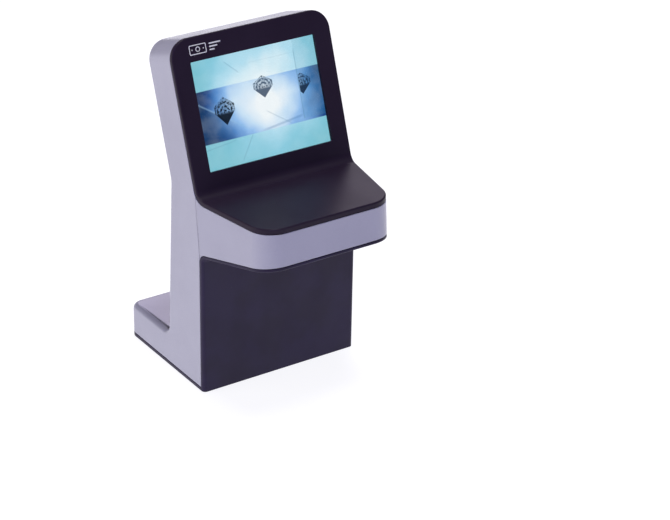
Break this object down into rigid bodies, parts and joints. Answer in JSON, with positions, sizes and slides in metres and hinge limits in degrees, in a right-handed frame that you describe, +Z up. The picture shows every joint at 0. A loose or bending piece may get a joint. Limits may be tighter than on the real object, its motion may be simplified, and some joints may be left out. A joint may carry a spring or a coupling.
{
  "type": "counterfeit bill detector",
  "caption": "Free-standing infrared banknote checker: tilted screen head on a column, with a visor holding a camera over the desk where notes are laid, and a rear foot.",
  "frame": {"origin": "bottom centre of the bounding box, on the desk under the feet", "axes": "+Z up, -Y towards the user (the visor and the screen face -Y), +X to the user's right"},
  "size_m": [0.124, 0.165, 0.2457],
  "materials": {
    "silver_plastic": "fine satin moulding",
    "gloss_black": "polished dark aubergine",
    "satin_black": "satin",
    "clear_window": "clear acrylic",
    "infrared_filter": "dark infrared-pass filter",
    "rubber": "matt",
    "black_screws": "black oxide",
    "steel": "zinc plated",
    "screen_glass": "lit display",
    "lens_glass": "coated",
    "circuit_board": "green solder mask",
    "black_moulding": "fine grain",
    "nylon": "natural",
    "cable": "flexible",
    "led_epoxy": "clear epoxy",
    "capacitor_sleeve": "shrink sleeve"
  },
  "bodies": {
    "root": {"rear_housing": "silver_plastic", "visor_band": "silver_plastic", "front_cover": "gloss_black", "lower_front_panel": "satin_black", "base_plate": "satin_black", "screen_window": "clear_window", "infrared_window": "infrared_filter", "rubber_foot_1": "rubber", "rubber_foot_2": "rubber", "rubber_foot_3": "rubber", "rubber_foot_4": "rubber", "base_screw_1": "black_screws", "base_screw_2": "black_screws", "base_screw_3": "black_screws", "base_screw_4": "black_screws", "head_screw_left": "black_screws", "head_screw_right": "black_screws", "column_screw_left": "black_screws", "column_screw_right": "black_screws", "lcd_bracket_left": "steel", "lcd_bracket_right": "steel", "lcd_frame": "steel", "switch_terminal_left": "steel", "switch_terminal_right": "steel", "power_inlet_pin": "steel", "bracket_screw_1": "steel", "bracket_screw_2": "steel", "bracket_screw_3": "steel", "bracket_screw_4": "steel", "display_screw_1": "steel", "display_screw_2": "steel", "display_screw_3": "steel", "display_screw_4": "steel", "camera_screw_1": "steel", "camera_screw_2": "steel", "camera_screw_3": "steel", "camera_screw_4": "steel", "lcd_glass": "screen_glass", "camera_lens": "lens_glass", "display_board": "circuit_board", "camera_board": "circuit_board", "main_board": "circuit_board", "display_chip": "black_moulding", "control_chip": "black_moulding", "lens_holder": "black_moulding", "lens_barrel": "black_moulding", "power_inlet": "black_moulding", "switch_body": "black_moulding", "lcd_connector": "nylon", "cable_connector_camera": "nylon", "cable_connector_display": "nylon", "lcd_ribbon": "cable", "camera_cable": "cable", "display_cable": "cable", "infrared_led_left_1": "led_epoxy", "infrared_led_left_2": "led_epoxy", "infrared_led_right_1": "led_epoxy", "infrared_led_right_2": "led_epoxy", "capacitor": "capacitor_sleeve"},
    "rocker": {"switch_rocker": "black_moulding"}
  },
  "joints": [
    {"name": "power_rocker", "type": "hinge", "parent": "root", "child": "rocker", "pos_m": [-0.022, 0.079, 0.013], "axis": [0, 0, 1], "range_deg": [-20, 0]}
  ]
}
